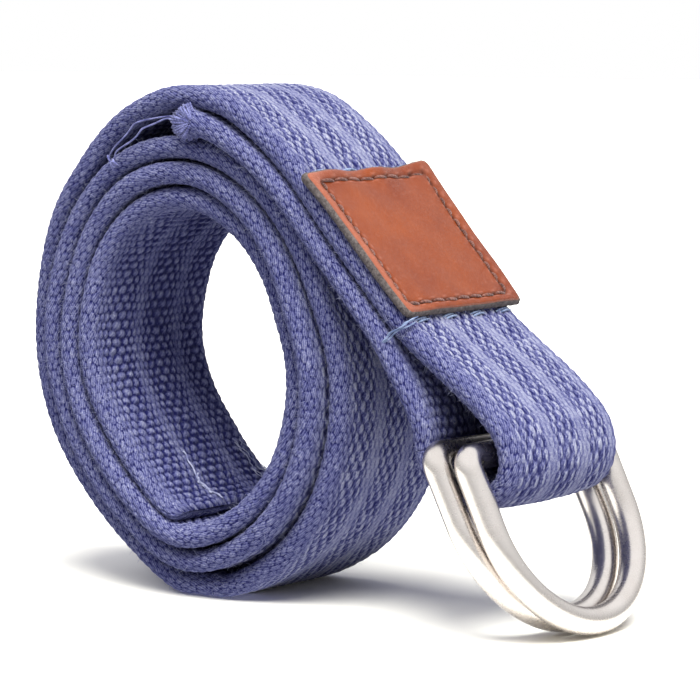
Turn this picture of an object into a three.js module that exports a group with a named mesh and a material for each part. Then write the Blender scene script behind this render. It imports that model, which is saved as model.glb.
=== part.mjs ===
import * as THREE from 'three';

// A canvas belt rolled up and standing on its edge, in millimetres. One long webbing strap makes
// a doubled end that holds two D-rings, runs under a leather patch and then winds inward.
const strapWidth = 38;
const strapThick = 4.4;
const patch = { wide: 40.1, tall: 34.7, thick: 2.0, corner: 2.2, lift: 0.3, across: 0.55 };
const ring = { wire: 5.4, wide: 44.8, tall: 35.4, corner: 2.9, straight: 14.3 };
const coilCentre = { x: -4, z: 48 };
const pitchPerTurn = 5.4;
const pitchEase = 0.07;          // the roll gets a little tighter turn by turn
const firstTurn = 130;           // degrees round the coil where the lead part joins the roll
const lastTurn = 1350;           // degrees where the strap's inner end lies
const settle = 0.8;              // how far the roll sinks flat where it rests on the floor

// Reach of the rolled strap from the coil centre, by direction, before the pitch is taken off.
const coilOutline = [
  { deg: 0, reach: 40.8 }, { deg: 22.5, reach: 39.82 }, { deg: 45, reach: 41.84 },
  { deg: 67.5, reach: 45.23 }, { deg: 90, reach: 48.5 }, { deg: 112.5, reach: 49.34 },
  { deg: 135, reach: 47.39 }, { deg: 157.5, reach: 44.57 }, { deg: 180, reach: 43.22 },
  { deg: 202.5, reach: 42.41 }, { deg: 225, reach: 42.69 }, { deg: 247.5, reach: 45.17 },
  { deg: 270, reach: 49.75 }, { deg: 292.5, reach: 48.58 }, { deg: 315, reach: 45.98 },
  { deg: 337.5, reach: 42.88 },
];

// How far each quarter turn stands back from the front of the roll.
const coilBack = [
  { deg: 90, back: 1.6 }, { deg: 180, back: 4.27 }, { deg: 270, back: 3.71 },
  { deg: 360, back: 2.99 }, { deg: 450, back: 1.87 }, { deg: 540, back: 1.37 },
  { deg: 630, back: -0.48 }, { deg: 720, back: -0.07 }, { deg: 810, back: 1.24 },
  { deg: 900, back: 0.11 }, { deg: 990, back: -2.2 }, { deg: 1080, back: 2.8 },
  { deg: 1170, back: 3.0 }, { deg: 1260, back: 0.2 }, { deg: 1350, back: -1.4 },
];

// Centre line of the doubled end, the ring loop and the run over the top of the roll.
const leadRows = [
  { x: -4.4, z: 94.9, back: -1.6, thick: 4.4 },   // free end of the fold-back
  { x: -1.2, z: 94.9, back: -1.6, thick: 4.8 },
  { x: 4.9, z: 92.9, back: -1.4, thick: 4.4 },
  { x: 12.1, z: 88.8, back: -1.2, thick: 4.2 },
  { x: 18.3, z: 83.9, back: -1.0, thick: 4.2 },
  { x: 23.4, z: 78.7, back: -0.9, thick: 4.2 },
  { x: 30.2, z: 70.7, back: -0.8, thick: 4.2 },
  { x: 37.1, z: 62.9, back: -0.8, thick: 4.2 },
  { x: 44.0, z: 55.1, back: -0.9, thick: 4.2 },   // stitched to the outer run
  { x: 48.4, z: 49.0, back: -1.0, thick: 4.3 },
  { x: 52.0, z: 43.6, back: -1.0, thick: 4.3 },
  { x: 54.3, z: 38.6, back: -1.0, thick: 4.3 },
  { x: 55.1, z: 34.4, back: -1.0, thick: 4.3 },   // round the two ring bars
  { x: 56.7, z: 30.4, back: -1.0, thick: 4.3 },
  { x: 60.4, z: 27.2, back: -1.0, thick: 4.3 },
  { x: 65.6, z: 26.0, back: -1.0, thick: 4.3 },
  { x: 70.6, z: 27.1, back: -1.0, thick: 4.3 },
  { x: 73.4, z: 30.3, back: -1.0, thick: 4.3 },
  { x: 73.9, z: 34.4, back: -1.0, thick: 4.3 },
  { x: 72.2, z: 38.8, back: -1.0, thick: 4.3 },
  { x: 69.0, z: 42.9, back: -0.8, thick: 4.3 },
  { x: 64.9, z: 46.6, back: -0.6, thick: 4.4 },
  { x: 59.9, z: 50.1, back: -0.4, thick: 4.4 },
  { x: 54.0, z: 53.7, back: -0.2, thick: 4.4 },
  { x: 48.2, z: 57.5, back: 0, thick: 4.4 },      // foot of the patch
  { x: 40.55, z: 66.16, back: 0, thick: 4.4 },
  { x: 32.9, z: 74.8, back: 0.1, thick: 4.4 },
  { x: 25.2, z: 83.5, back: 0.3, thick: 4.4 },    // head of the patch
  { x: 21.8, z: 87.0, back: 0.4, thick: 4.4 },
  { x: 16.1, z: 91.9, back: 0.6, thick: 4.4 },
  { x: 8.6, z: 97.0, back: 0.9, thick: 4.4 },
  { x: 3.0, z: 99.2, back: 1.2, thick: 4.4 },
  { x: -3.6, z: 100.1, back: 1.4, thick: 4.4 },
  { x: -11.2, z: 99.4, back: 1.7, thick: 4.4 },
  { x: -20.6, z: 95.6, back: 2.1, thick: 4.4 },
  { x: -27.6, z: 90.1, back: 2.4, thick: 4.4 },
];

const ringRows = [
  { name: 'd_ring_front', x: 67.9, y: -1.2, yaw: -1.5, tilt: 64.4, turn: -0.3 },
  { name: 'd_ring_back', x: 60.9, y: -1.1, yaw: -1.4, tilt: 62.3, turn: 1.0 },
];

const rad = (deg) => deg * Math.PI / 180;

function catmull(a, b, c, d, t) {
  return b + 0.5 * t * ((c - a) + t * ((2 * a - 5 * b + 4 * c - d) + t * (3 * (b - c) + d - a)));
}

// Smooth value between equally spaced rows; a closed table runs round to its own start.
function along(rows, key, deg, closed) {
  const step = rows[1].deg - rows[0].deg;
  const at = (deg - rows[0].deg) / step;
  const n = rows.length;
  const cell = Math.floor(at);
  const pick = (k) => {
    const row = closed ? rows[((k % n) + n) % n] : rows[Math.min(n - 1, Math.max(0, k))];
    return row[key];
  };
  return catmull(pick(cell - 1), pick(cell), pick(cell + 1), pick(cell + 2), at - cell);
}

function coilPoint(deg) {
  const turns = deg / 360;
  const reach = along(coilOutline, 'reach', deg % 360, true)
    - pitchPerTurn * turns + pitchEase * turns * turns;
  const endward = Math.max(0, (deg - (lastTurn - 40)) / 40);
  const thick = strapThick - 1.2 * endward;
  const out = reach + 0.9 * endward;
  const z = coilCentre.z + out * Math.sin(rad(deg));
  const sunk = z - settle * Math.exp(-(((deg - 270) / 24) ** 2));
  const rest = deg < 360 ? Math.max(sunk, strapThick / 2) : z;
  return { x: coilCentre.x + out * Math.cos(rad(deg)), z: rest, back: along(coilBack, 'back', deg), thick };
}

// The strap's centre line as a dense run of points from the fold-back end to the inner end.
function strapLine() {
  const rows = [...leadRows];
  for (let deg = firstTurn; deg <= lastTurn; deg += 5) rows.push(coilPoint(deg));
  const line = [];
  for (let i = 0; i < rows.length - 1; i += 1) {
    const a = rows[Math.max(0, i - 1)];
    const b = rows[i];
    const c = rows[i + 1];
    const d = rows[Math.min(rows.length - 1, i + 2)];
    for (let s = 0; s < 12; s += 1) {
      const p = {};
      for (const key of ['x', 'z', 'back', 'thick']) p[key] = catmull(a[key], b[key], c[key], d[key], s / 12);
      p.flat = p.z < strapThick / 2 + 0.02;
      if (p.flat) p.z = strapThick / 2;
      line.push(p);
    }
  }
  line.push(rows[rows.length - 1]);
  return line;
}

// Stations are set closer together where the strap bends sharply.
function stations(line, maxStep, maxTurn) {
  const heading = (i) => {
    if (line[i].flat) return 0;
    const a = line[Math.max(0, i - 1)];
    const b = line[Math.min(line.length - 1, i + 1)];
    return Math.atan2(b.z - a.z, b.x - a.x);
  };
  const out = [{ ...line[0], heading: heading(0) }];
  let walked = 0;
  let turned = 0;
  for (let i = 1; i < line.length; i += 1) {
    walked += Math.hypot(line[i].x - line[i - 1].x, line[i].z - line[i - 1].z);
    const bend = heading(i) - heading(i - 1);
    turned += Math.abs(Math.atan2(Math.sin(bend), Math.cos(bend)));
    const last = i === line.length - 1;
    const edge = !last && Boolean(line[i].flat) && !(line[i - 1].flat && line[i + 1].flat);
    if (walked >= maxStep || turned >= rad(maxTurn) || edge || last) {
      out.push({ ...line[i], heading: heading(i) });
      walked = 0;
      turned = 0;
    }
  }
  return out;
}

// Outline of the webbing cut across: flat faces and rounded woven edges.
function webbingSection(wide, thick, steps) {
  const r = thick / 2;
  const half = wide / 2 - r;
  const pts = [];
  for (let k = 0; k <= steps; k += 1) {
    const a = -Math.PI / 2 + Math.PI * k / steps;
    pts.push([half + r * Math.cos(a), r * Math.sin(a)]);
  }
  for (let k = 0; k <= steps; k += 1) {
    const a = Math.PI / 2 + Math.PI * k / steps;
    pts.push([-half + r * Math.cos(a), r * Math.sin(a)]);
  }
  return pts;
}

// Closed skin over rows of points; capped with a fan at both ends unless it joins up.
function skin(rows, joined) {
  const n = rows[0].length;
  const m = rows.length;
  const pos = [];
  const tri = [];
  rows.forEach((row) => row.forEach((p) => pos.push(p[0], p[1], p[2])));
  for (let i = 0; i < (joined ? m : m - 1); i += 1) {
    for (let k = 0; k < n; k += 1) {
      const a = i * n + k;
      const b = i * n + (k + 1) % n;
      const c = ((i + 1) % m) * n + k;
      const d = ((i + 1) % m) * n + (k + 1) % n;
      tri.push(a, c, b, b, c, d);
    }
  }
  if (!joined) {
    for (const [row, turn] of [[0, 1], [m - 1, -1]]) {
      const mid = pos.length / 3;
      const sum = [0, 0, 0];
      rows[row].forEach((p) => p.forEach((v, j) => { sum[j] += v / n; }));
      pos.push(...sum);
      for (let k = 0; k < n; k += 1) {
        const a = row * n + k;
        const b = row * n + (k + 1) % n;
        tri.push(...(turn > 0 ? [mid, a, b] : [mid, b, a]));
      }
    }
  }
  const geometry = new THREE.BufferGeometry();
  geometry.setAttribute('position', new THREE.Float32BufferAttribute(pos, 3));
  geometry.setIndex(tri);
  return outward(geometry);
}

// Turns the triangles round if the body they enclose comes out inside-out.
function outward(geometry) {
  const p = geometry.attributes.position;
  const idx = geometry.index.array;
  const v = [0, 1, 2].map(() => new THREE.Vector3());
  let volume = 0;
  for (let i = 0; i < idx.length; i += 3) {
    v.forEach((q, j) => q.fromBufferAttribute(p, idx[i + j]));
    volume += v[0].dot(v[1].clone().cross(v[2]));
  }
  if (volume < 0) {
    for (let i = 0; i < idx.length; i += 3) [idx[i + 1], idx[i + 2]] = [idx[i + 2], idx[i + 1]];
  }
  geometry.computeVertexNormals();
  return geometry;
}

function strapGeometry() {
  const rows = stations(strapLine(), 6.5, 8.5).map((s) => {
    const nx = -Math.sin(s.heading);
    const nz = Math.cos(s.heading);
    return webbingSection(strapWidth, s.thick, 6).map(([y, h]) => [s.x + nx * h, y + s.back, s.z + nz * h]);
  });
  return skin(rows, false);
}

// The D: straight bar, two tight corners, straight sides and a half-round bow.
function ringLine() {
  const half = ring.wide / 2;
  const pts = [];
  for (let k = 0; k < 5; k += 1) pts.push([(half - ring.corner) * k / 5, 0]);
  for (let k = 0; k < 6; k += 1) {
    const a = Math.PI / 2 * k / 6;
    pts.push([half - ring.corner + ring.corner * Math.sin(a), ring.corner * (1 - Math.cos(a))]);
  }
  for (let k = 0; k < 3; k += 1) pts.push([half, ring.corner + (ring.straight - ring.corner) * k / 3]);
  for (let k = 0; k < 13; k += 1) {
    const a = Math.PI / 2 * k / 13;
    pts.push([half * Math.cos(a), ring.straight + (ring.tall - ring.straight) * Math.sin(a)]);
  }
  const other = pts.slice(1).map(([u, v]) => [-u, v]).reverse();
  return [...pts, [0, ring.tall], ...other];
}

function ringGeometry(row) {
  const line = ringLine();
  const r = ring.wire / 2;
  const yaw = rad(row.yaw);
  const tilt = rad(row.tilt);
  const turn = rad(row.turn);
  const side = new THREE.Vector3(-Math.sin(yaw), Math.cos(yaw), 0);
  const down = new THREE.Vector3(Math.cos(yaw) * Math.cos(tilt), Math.sin(yaw) * Math.cos(tilt), -Math.sin(tilt));
  const u = side.clone().multiplyScalar(Math.cos(turn)).addScaledVector(down, Math.sin(turn));
  const v = down.clone().multiplyScalar(Math.cos(turn)).addScaledVector(side, -Math.sin(turn));
  const w = u.clone().cross(v);
  const rows = line.map((p, i) => {
    const a = line[(i + line.length - 1) % line.length];
    const b = line[(i + 1) % line.length];
    const len = Math.hypot(b[0] - a[0], b[1] - a[1]);
    const nu = (b[1] - a[1]) / len;
    const nv = -(b[0] - a[0]) / len;
    const out = [];
    for (let k = 0; k < 12; k += 1) {
      const t = Math.PI * 2 * k / 12;
      const q = new THREE.Vector3()
        .addScaledVector(u, p[0] + nu * r * Math.cos(t))
        .addScaledVector(v, p[1] + nv * r * Math.cos(t))
        .addScaledVector(w, r * Math.sin(t));
      out.push([q.x, q.y, q.z]);
    }
    return out;
  });
  const low = Math.min(...rows.flat().map((q) => q[2]));
  return skin(rows, true).translate(row.x, row.y, -low);
}

// A flat plate with rounded corners lying on the straight run between the stitch lines.
function patchGeometry() {
  const head = leadRows.find((row) => row.x === 25.2);
  const foot = leadRows.find((row) => row.x === 48.2);
  const len = Math.hypot(foot.x - head.x, foot.z - head.z);
  const t = [(foot.x - head.x) / len, (foot.z - head.z) / len];
  const n = [-t[1], t[0]];
  const base = strapThick / 2 + patch.lift;
  const mid = [(head.x + foot.x) / 2, (head.z + foot.z) / 2];
  const a = patch.wide / 2;
  const b = patch.tall / 2;
  const c = patch.corner;
  const edge = (inset) => {
    const pts = [];
    const corners = [[1, 1, 0], [-1, 1, 90], [-1, -1, 180], [1, -1, 270]];
    corners.forEach(([sx, sy, start]) => {
      for (let k = 0; k <= 5; k += 1) {
        const g = rad(start + 18 * k);
        pts.push([sx * (a - c) + (c - inset) * Math.cos(g), sy * (b - c) + (c - inset) * Math.sin(g)]);
      }
    });
    return pts;
  };
  const level = (inset, h) => edge(inset).map(([y, s]) => [
    mid[0] + t[0] * s + n[0] * (base + h), y + patch.across, mid[1] + t[1] * s + n[1] * (base + h),
  ]);
  const rows = [level(0.25, 0), level(0, 0.3), level(0, patch.thick - 0.4), level(0.4, patch.thick)];
  return skin(rows, false);
}

const canvas = new THREE.MeshStandardMaterial({ color: 0x5a5c96, roughness: 0.92, metalness: 0 });
const nickel = new THREE.MeshStandardMaterial({ color: 0xcfc9c2, roughness: 0.24, metalness: 1 });
const leather = new THREE.MeshStandardMaterial({ color: 0x9c4a26, roughness: 0.42, metalness: 0 });

function piece(name, geometry, material) {
  const mesh = new THREE.Mesh(geometry, material);
  mesh.name = name;
  return mesh;
}

const group = new THREE.Group();
group.name = 'canvas_belt';
group.add(piece('strap', strapGeometry(), canvas));
ringRows.forEach((row) => group.add(piece(row.name, ringGeometry(row), nickel)));
group.add(piece('leather_patch', patchGeometry(), leather));

// The origin is moved to the middle of the footprint, on the floor.
const bounds = new THREE.Box3().setFromObject(group);
const shift = [-(bounds.min.x + bounds.max.x) / 2, -(bounds.min.y + bounds.max.y) / 2, -bounds.min.z];
group.children.forEach((mesh) => mesh.geometry.translate(...shift));

export default group;
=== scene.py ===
from math import cos, pi, radians, sin

import bpy
import numpy as np
from mathutils import Matrix, Vector


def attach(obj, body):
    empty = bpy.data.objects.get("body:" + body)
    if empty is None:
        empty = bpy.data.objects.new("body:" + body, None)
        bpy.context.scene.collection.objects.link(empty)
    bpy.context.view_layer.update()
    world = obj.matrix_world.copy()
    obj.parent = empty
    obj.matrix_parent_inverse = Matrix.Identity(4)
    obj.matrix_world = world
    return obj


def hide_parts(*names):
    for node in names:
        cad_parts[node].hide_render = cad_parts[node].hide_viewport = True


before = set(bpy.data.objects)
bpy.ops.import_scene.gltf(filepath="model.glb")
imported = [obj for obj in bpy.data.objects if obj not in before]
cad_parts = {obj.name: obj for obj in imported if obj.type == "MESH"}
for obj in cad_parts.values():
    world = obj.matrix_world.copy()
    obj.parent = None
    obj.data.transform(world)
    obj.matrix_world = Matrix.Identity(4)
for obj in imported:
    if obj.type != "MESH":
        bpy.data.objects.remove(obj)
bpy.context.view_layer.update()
scene = bpy.context.scene
mm = 0.001
mapScale = 100.0  # millimetres, or grains, to one unit of the "laid" map
toPart = np.array([-19.5115, 1.3477, 0.0])  # the drawing's millimetres to the part's frame


# A socket, wrapped so that shader maths reads as arithmetic.
class Flow:
    def __init__(self, maker, socket):
        self.maker, self.socket = maker, socket

    def math(self, operation, *others):
        return self.maker.node("Math", {"operation": operation}, [self, *others])

    __add__ = __radd__ = lambda self, other: self.math("ADD", other)
    __mul__ = __rmul__ = lambda self, other: self.math("MULTIPLY", other)
    __sub__ = lambda self, other: self.math("SUBTRACT", other)
    __rsub__ = lambda self, other: self.maker.node("Math", {"operation": "SUBTRACT"}, [other, self])
    __truediv__ = lambda self, other: self.math("DIVIDE", other)
    __pow__ = lambda self, other: self.math("POWER", other)
    sine = lambda self: self.math("SINE")
    cosine = lambda self: self.math("COSINE")
    fract = lambda self: self.math("FRACT")

    def clamp(self, low=0.0, high=1.0):
        return self.math("MAXIMUM", low).math("MINIMUM", high)


# The nodes of one tree, a material's or the world's.
class Nodes:
    def __init__(self, tree):
        self.tree = tree

    # any node: its type, settings that are set first, then socket values or links
    def node(self, kind, settings=None, inputs=None, out=0):
        made = self.tree.nodes.new("ShaderNode" + kind)
        for key, value in (settings or {}).items():
            if key == "stops":
                ramp = made.color_ramp.elements
                while len(ramp) < len(value):
                    ramp.new(0.5)
                for stop, (place, colour) in zip(ramp, value):
                    stop.position, stop.color = place, (*colour, 1.0)
            else:
                setattr(made, key, value)
        pairs = inputs.items() if isinstance(inputs, dict) else enumerate(inputs or [])
        for key, value in pairs:
            socket = made.inputs[key]
            if isinstance(value, Flow):
                self.tree.links.new(value.socket, socket)
            elif socket.type == "RGBA" and len(value) == 3:
                socket.default_value = (*value, 1.0)
            else:
                socket.default_value = value
        return Flow(self, made.outputs[out])

    def mix(self, factor, a, b):
        return self.node("Mix", {"data_type": "RGBA"}, {0: factor, 6: a, 7: b}, out=2)

    def parts(self, vector):
        outputs = self.node("SeparateXYZ", None, [vector]).socket.node.outputs
        return [Flow(self, outputs[k]) for k in range(3)]


class Finish(Nodes):
    def __init__(self, name):
        self.material = bpy.data.materials.new(name)
        self.material.use_nodes = True
        super().__init__(self.material.node_tree)
        self.tree.nodes.clear()

    def noise(self, coords, scale, detail=3.0, rough=0.55):
        return self.node("TexNoise", None, {"Vector": coords, "Scale": scale, "Detail": detail,
                                            "Roughness": rough})

    def place(self):
        return self.node("TexCoord", out="Object")

    def laid(self):
        return self.node("UVMap", {"uv_map": "laid"})

    def stored(self, name):
        return self.node("Attribute", {"attribute_name": name}, out="Fac")

    def bump(self, height, distance, strength):
        return self.node("Bump", None, {"Height": height, "Distance": distance, "Strength": strength})

    def done(self, **sockets):
        shader = self.node("BsdfPrincipled", None, {k.replace("_", " "): v for k, v in sockets.items()})
        end = self.tree.nodes.new("ShaderNodeOutputMaterial")
        self.tree.links.new(shader.socket, end.inputs["Surface"])
        return self.material


def placed(name, data):
    made = bpy.data.objects.new(name, data)
    scene.collection.objects.link(made)
    return made


# Verts as rows, quads and triangles as index arrays; "laid" is the piece's own map, in turns of wrap,
# and every entry of fields is a number stored on each point.
def meshPiece(name, verts, quads, tris, material, laid=None, fields=None, wrap=0.0):
    mesh = bpy.data.meshes.new(name)
    loops = np.concatenate([quads.ravel(), tris.ravel()]).astype(np.int32)
    counts = np.concatenate([np.full(len(quads), 4), np.full(len(tris), 3)]).astype(np.int32)
    starts = np.concatenate([[0], np.cumsum(counts)[:-1]]).astype(np.int32)
    mesh.vertices.add(len(verts))
    mesh.vertices.foreach_set("co", (verts * mm).astype(np.float32).ravel())
    mesh.loops.add(len(loops))
    mesh.loops.foreach_set("vertex_index", loops)
    mesh.polygons.add(len(counts))
    mesh.polygons.foreach_set("loop_start", starts)
    mesh.polygons.foreach_set("loop_total", counts)
    smooth = (counts == 4) | (wrap == 0)  # the strap's cut ends stay flat
    mesh.update(calc_edges=True)
    mesh.polygons.foreach_set("use_smooth", smooth)
    if laid is not None:
        layer = mesh.uv_layers.new(name="laid")
        spread = laid[loops]
        if wrap:  # where a face crosses the seam, its low corners go up a turn
            for part in (spread[:quads.size].reshape(-1, 4, 2), spread[quads.size:].reshape(-1, 3, 2)):
                across = np.ptp(part[:, :, 1], axis=1) > wrap / 2
                part[..., 1] += wrap * (across[:, None] & (part[..., 1] < 0))
        layer.data.foreach_set("uv", spread.astype(np.float32).ravel())
    for key, values in (fields or {}).items():
        stored = mesh.attributes.new(key, "FLOAT", "POINT")
        stored.data.foreach_set("value", values.astype(np.float32).ravel())
    mesh.validate()
    mesh.materials.append(material)
    piece = placed(name, mesh)
    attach(piece, "root")
    return piece


# A grid of points (rows, around, 3) closed round its second index, with a fan at each end,
# or joined end to end as a ring.
def tubeFaces(rows, around, joined=False):
    i = np.arange(rows if joined else rows - 1)[:, None]
    k = np.arange(around)[None, :]
    a, b = i * around + k, i * around + (k + 1) % around
    c, d = ((i + 1) % rows) * around + (k + 1) % around, ((i + 1) % rows) * around + k
    quads = np.stack([a, b, c, d], -1).reshape(-1, 4)
    if joined:
        return quads, np.zeros((0, 3), int)
    k = np.arange(around)
    last = (rows - 1) * around
    low = np.stack([np.full(around, rows * around), (k + 1) % around, k], -1)
    high = np.stack([np.full(around, rows * around + 1), last + k, last + (k + 1) % around], -1)
    return quads, np.concatenate([low, high])


# All faces are turned over where the volume that they close, summed from the origin, is negative.
def facingOut(verts, quads, tris):
    t = np.concatenate([quads[:, :3], quads[:, [0, 2, 3]], tris])
    p, q, r = verts[t[:, 0]], verts[t[:, 1]], verts[t[:, 2]]
    if np.einsum("ij,ij->", p, np.cross(q, r)) < 0:
        return quads[:, ::-1], tris[:, ::-1]
    return quads, tris


# Many small tubes in one mesh: a circle carried along each path, square to its run. Paths are
# (count, steps, 3), and the radius is one number or (count, steps).
def threadTubes(name, paths, radius, material, around=6):
    count, steps = paths.shape[:2]
    run = np.gradient(paths, axis=1)
    run /= np.linalg.norm(run, axis=2, keepdims=True) + 1e-9
    ref = np.where(np.abs(run[..., 2:3]) < 0.9, [[[0.0, 0, 1]]], [[[0.0, 1, 0]]])
    side = np.cross(run, ref)
    side /= np.linalg.norm(side, axis=2, keepdims=True) + 1e-9
    up = np.cross(side, run)
    turn = np.linspace(0, 2 * pi, around, endpoint=False)
    size = np.broadcast_to(radius, (count, steps))[..., None, None]
    ring = side[:, :, None] * np.cos(turn)[:, None] + up[:, :, None] * np.sin(turn)[:, None]
    verts = (paths[:, :, None] + ring * size).reshape(count, -1, 3)
    verts = np.concatenate([verts, paths[:, :1], paths[:, -1:]], 1)
    quads, tris = tubeFaces(steps, around)
    quads, tris = facingOut(verts[0], quads, tris)
    shift = (np.arange(count) * verts.shape[1])[:, None, None]
    laid = np.zeros((count, verts.shape[1], 2))
    along = np.linspace(0, 1, steps)
    laid[:, :-2, 0] = np.repeat(along, around)
    laid[:, :-2, 1] = np.tile(turn / (2 * pi), steps)
    laid[:, -1, 0] = 1
    return meshPiece(name, verts.reshape(-1, 3), (quads + shift).reshape(-1, 4),
                     (tris + shift).reshape(-1, 3), material, laid.reshape(-1, 2))


# The cubic from b to c whose slopes there are half of c - a and half of d - b.
def catmull(a, b, c, d, t):
    return b + 0.5 * t * ((c - a) + t * ((2 * a - 5 * b + 4 * c - d) + t * (3 * (b - c) + d - a)))


# Smooth values through rows of numbers, at fractional row numbers.
def through(rows, at, closed=False):
    rows = np.asarray(rows, float)
    cell = np.floor(at).astype(int)
    t = (at - cell)[:, None]
    n = len(rows)
    pick = [(cell + k) % n if closed else np.clip(cell + k, 0, n - 1) for k in (-1, 0, 1, 2)]
    return catmull(*(rows[p] for p in pick), t)


# millimetres, degrees; "lens" is for a 36 mm sensor
cameraAt = {"x": 367.454, "y": -502.858, "z": 110.755, "turn": 35.736, "down": 5.574, "roll": 0.248,
            "lens": 161.70}


# Looks along a compass turn and a dip, then rolls about that line.
def makeCamera(c):
    a, e, ro = (radians(c[k]) for k in ("turn", "down", "roll"))
    ahead = np.array([-sin(a) * cos(e), cos(a) * cos(e), -sin(e)])
    right = np.array([cos(a), sin(a), 0.0])
    up = np.cross(right, ahead)
    right, up = right * cos(ro) + up * sin(ro), up * cos(ro) - right * sin(ro)
    data = bpy.data.cameras.new("camera")
    data.lens, data.sensor_width = c["lens"], 36.0
    data.clip_start, data.clip_end = 0.01, 50.0
    camera = placed("camera", data)
    matrix = np.eye(4)
    matrix[:3] = np.stack([right, up, -ahead, np.array([c["x"], c["y"], c["z"]]) * mm], -1)
    camera.matrix_world = Matrix(matrix.tolist())
    scene.camera = camera


makeCamera(cameraAt)
print("camera placed")


# How full the grains are, how dark the gaps are painted as shade and how far lifted: a number for all, and
# what a zone adds.
canvasLook = {
    "gapShade": (0.010, 0.011, 0.068), "mid": (0.088, 0.093, 0.206), "light": (0.300, 0.308, 0.390),
    "stops": (0.12, 0.45, 0.95), "sunlit": (0.365, 0.374, 0.420), "fibre": (0.60, 0.61, 0.70),
    "fibreScale": 2300.0, "driftScale": 42.0, "blurScale": 520.0, "slipScale": 610.0,
    "looseAlong": 1.1, "looseAcross": 0.42, "calmFrom": 12.0, "calmTo": 18.5, "calm": 0.65,
    "full": {"all": 5.0, "face": -1.0, "edge": 3.5, "inner": -2.8},
    "gap": {"all": 0.44, "face": 0.2, "edge": -0.05, "inner": 0.5}, "gapUneven": 2.1,
    "lift": {"all": -0.035, "face": 0.10, "edge": -0.035, "inner": 0.04, "band": 0.06},
    "slit": 0.55, "slitWide": 1.6, "slitFrom": 0.7, "slitBroken": 2.4,
    "ply": (19.0, 5.4, 6.0), "finePly": (26.0, -1.1, 9.0), "plyTone": 0.16, "plyEdge": 0.14,
    "bandFlat": 0.66, "bandLevel": 0.55, "bandPly": 0.2, "grainTone": 0.50, "luckTone": 0.14,
    "fibreTone": 0.95, "driftTone": 0.22, "rough": 0.86, "bump": 0.00026,
    "sheen": (0.66, 0.69, 1.0, 1.0)}


# The same crossing waves as wovenRelief, worked out in the shader so that the gaps are drawn sharp.
# Grains are painted paler towards their tops and dark into the gaps, as light and shade on the weave; strands
# and fibres break them up, and the painted gap shade is deep blue.
def canvasFinish(c, k):
    f = Finish("slate_blue_canvas")
    s, n, _ = f.parts(f.laid())
    s, n = s * mapScale, n * mapScale  # millimetres along, grains across
    outer, edge, band = f.stored("outer"), f.stored("edge"), f.stored("flatBand")
    face = outer.clamp()
    fibre = f.noise(f.place(), c["fibreScale"], 4.0, 0.75)
    drift = f.noise(f.place(), c["driftScale"], 4.0)
    blur = f.noise(f.place(), c["blurScale"], 2.0)
    slip = f.noise(f.place(), c["slipScale"], 2.0)
    here = s + rowSway(s, n * k["lane"], Flow.sine) + (blur - 0.5) * c["looseAlong"]
    here = here + (n * pi).cosine() * edge * k["zigzag"]
    over = n + (slip - 0.5) * c["looseAcross"]
    third = k["round"] + face * (k["long"] - k["round"])
    grain = grainWave(here * (pi / k["row"]), over * (2 * pi), third, Flow.cosine).clamp()
    # the inner face away from its ridges, calmer on its near third
    calm = ((c["calmTo"] - n) * 0.35).clamp() * ((n - c["calmFrom"]) * 4.0).clamp()
    inner = ((outer * -1).clamp() - band * 2).clamp() * (1 - calm * c["calm"])
    zones = {"face": face, "edge": edge, "inner": inner, "band": band}

    def zoned(by):
        return sum((zones[key] * by[key] for key in by if key != "all"), by["all"])

    # plied strands: turns across and along, and how loosely they lie
    def plies(across, along, loose, by):
        return (over * across + here * along + (by - 0.5) * loose).sine() * 0.5 + 0.5

    # the gaps between the grains are painted dark, as shade in the weave, deeper by zone and unevenly
    full = 1 - (1 - grain) ** zoned(c["full"])
    full = 1 - (1 - full) * (zoned(c["gap"]) + (blur - 0.3) * c["gapUneven"]).clamp(0.2, 1.15)
    # lengthwise slits between the columns of the outer face, broken here and there, painted dark as shade
    slit = (over * (4 * pi)).cosine() * -c["slitWide"] - c["slitFrom"] + (blur - 0.5) * c["slitBroken"]
    full = full * (1 - slit.clamp() * face * (1 - edge) * (1 - band) * c["slit"])
    # a random number for each grain
    rank = (here * (1 / k["row"])).math("ROUND")
    column = (over + (rank * 0.5).fract()).math("ROUND")
    luck = f.node("TexWhiteNoise", {"noise_dimensions": "2D"},
                  {"Vector": f.node("CombineXYZ", None, [rank, column, 0.0])})
    # strands slant over each grain, and finer ones lie along the smooth bands
    strand, fine = plies(*c["ply"], fibre), plies(*c["finePly"], blur)
    level = full * (1 - band * c["bandFlat"]) + band * (c["bandLevel"] + (fine - 0.5) * c["bandPly"])
    tone = level * (c["grainTone"] + luck * c["luckTone"])
    tone = tone + (strand - 0.5) * (c["plyTone"] + edge * c["plyEdge"]) * (1 - band)
    tone = tone + (fibre - 0.5) * c["fibreTone"] + (drift - 0.5) * c["driftTone"]
    tone = (tone + zoned(c["lift"])).clamp()
    # the ramp runs from the painted gap shade through the yarn's blue to grain tops painted paler, as where
    # light falls
    stops = list(zip(c["stops"], (c["gapShade"], c["mid"], c["light"])))
    colour = f.node("ValToRGB", {"stops": stops}, [tone])
    # on the outer face the brighter grains are painted paler towards the sunlit colour: partly wear, partly a
    # painted sheen of the light
    worn = ((tone - 0.45) * 2.0).clamp() * face * (1 - band * 0.4)  # paler on the outer face
    tips = ((fibre - 0.57) * 7.0).clamp() * grain * (0.2 + luck * 0.8) * 0.6
    colour = f.mix(tips, f.mix(worn, colour, c["sunlit"]), c["fibre"])
    height = level * 0.9 + strand * 0.25 + (fibre - 0.5) * 1.4
    return f.done(Base_Color=colour, Roughness=c["rough"] + (fibre - 0.5) * 0.3,
                  Normal=f.bump(height, c["bump"], 0.85), Sheen_Weight=0.12, Sheen_Roughness=0.4,
                  Sheen_Tint=c["sheen"], Specular_IOR_Level=0.15)


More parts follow.
